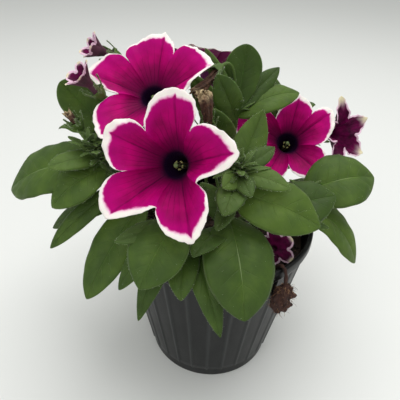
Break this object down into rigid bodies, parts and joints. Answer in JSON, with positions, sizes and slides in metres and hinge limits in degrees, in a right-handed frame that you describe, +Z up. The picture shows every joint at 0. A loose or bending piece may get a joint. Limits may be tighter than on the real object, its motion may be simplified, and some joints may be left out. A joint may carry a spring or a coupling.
{
  "type": "potted petunia",
  "caption": "Flowering petunia in a round ribbed nursery pot, with large funnel blooms, oval leaves and wilted flowers.",
  "frame": {"origin": "centre of the pot's flat underside", "axes": "+Z up along the pot's axis, -Y towards the viewer of the picture, +X to the viewer's right"},
  "size_m": [0.2233, 0.1858, 0.2047],
  "materials": {
    "pot": "dark grey moulded plastic with a soft gloss",
    "soil": "dark crumbly potting soil",
    "peat": "reddish brown fibrous peat and roots",
    "leaf": "soft green leaf with fine hairs",
    "petal": "velvety magenta with a white margin and a dark throat",
    "stamen": "pale yellow green",
    "wilted_petal": "dark limp maroon with a pale edge",
    "dried_flower": "papery brown"
  },
  "bodies": {
    "root": {"pot": "pot", "soil": "soil", "peat_clump": "peat", "stem_left": "leaf", "stem_back_left": "leaf", "stem_front_left": "leaf", "stem_front": "leaf", "stem_front_right": "leaf", "stem_right": "leaf", "stem_back_right": "leaf", "stem_back": "leaf", "bloom_front": "petal", "pistil_front": "stamen", "bloom_upper_left": "petal", "pistil_upper_left": "stamen", "bloom_right": "petal", "pistil_right": "stamen", "bloom_back": "petal", "pistil_back": "stamen", "bloom_rear_left": "petal", "pistil_rear_left": "stamen", "bloom_far_right": "wilted_petal", "bloom_wilting_upper": "wilted_petal", "bloom_wilting_lower": "wilted_petal", "fallen_flower": "wilted_petal", "spent_flower_back": "dried_flower", "spent_flower_front": "dried_flower", "spent_flower_left": "dried_flower"}
  },
  "joints": []
}
